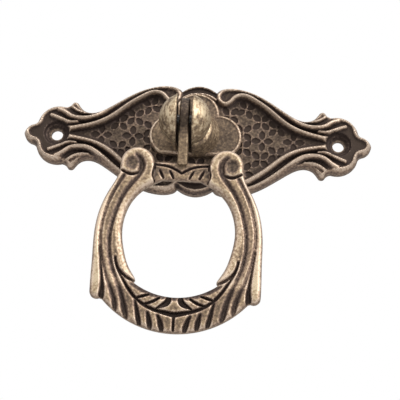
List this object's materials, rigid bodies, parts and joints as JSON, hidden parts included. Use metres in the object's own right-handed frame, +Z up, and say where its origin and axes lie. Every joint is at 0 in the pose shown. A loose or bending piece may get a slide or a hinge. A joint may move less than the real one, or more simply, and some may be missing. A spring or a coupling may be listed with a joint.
{
  "type": "cabinet drop handle",
  "caption": "Cast brass drop handle: long scrolled back plate with a dimpled field, slotted ball post, and a hanging strand-carved ring pull with two scrolls.",
  "frame": {"origin": "middle of the back plate's back face, on the drawer front", "axes": "+X to the right along the two screws, +Z up, and the front of the handle faces -Y"},
  "size_m": [0.0986, 0.0209, 0.0757],
  "materials": {
    "plate_brass": "antique patina, rubbed bright on the ridges",
    "post_brass": "antique patina, worn bright on the ball",
    "pull_brass": "antique patina, rubbed bright on the strands",
    "pin_steel": "dark, oiled"
  },
  "bodies": {
    "plate": {"back_plate": "plate_brass", "post": "post_brass", "pivot_pin": "pin_steel"},
    "ring": {"ring_pull": "pull_brass"}
  },
  "joints": [
    {"name": "ring_swing", "type": "hinge", "parent": "plate", "child": "ring", "pos_m": [-0.0034, -0.014, 0.0012], "axis": [-1, 0, 0], "range_deg": [-11.5, 191.5]}
  ]
}
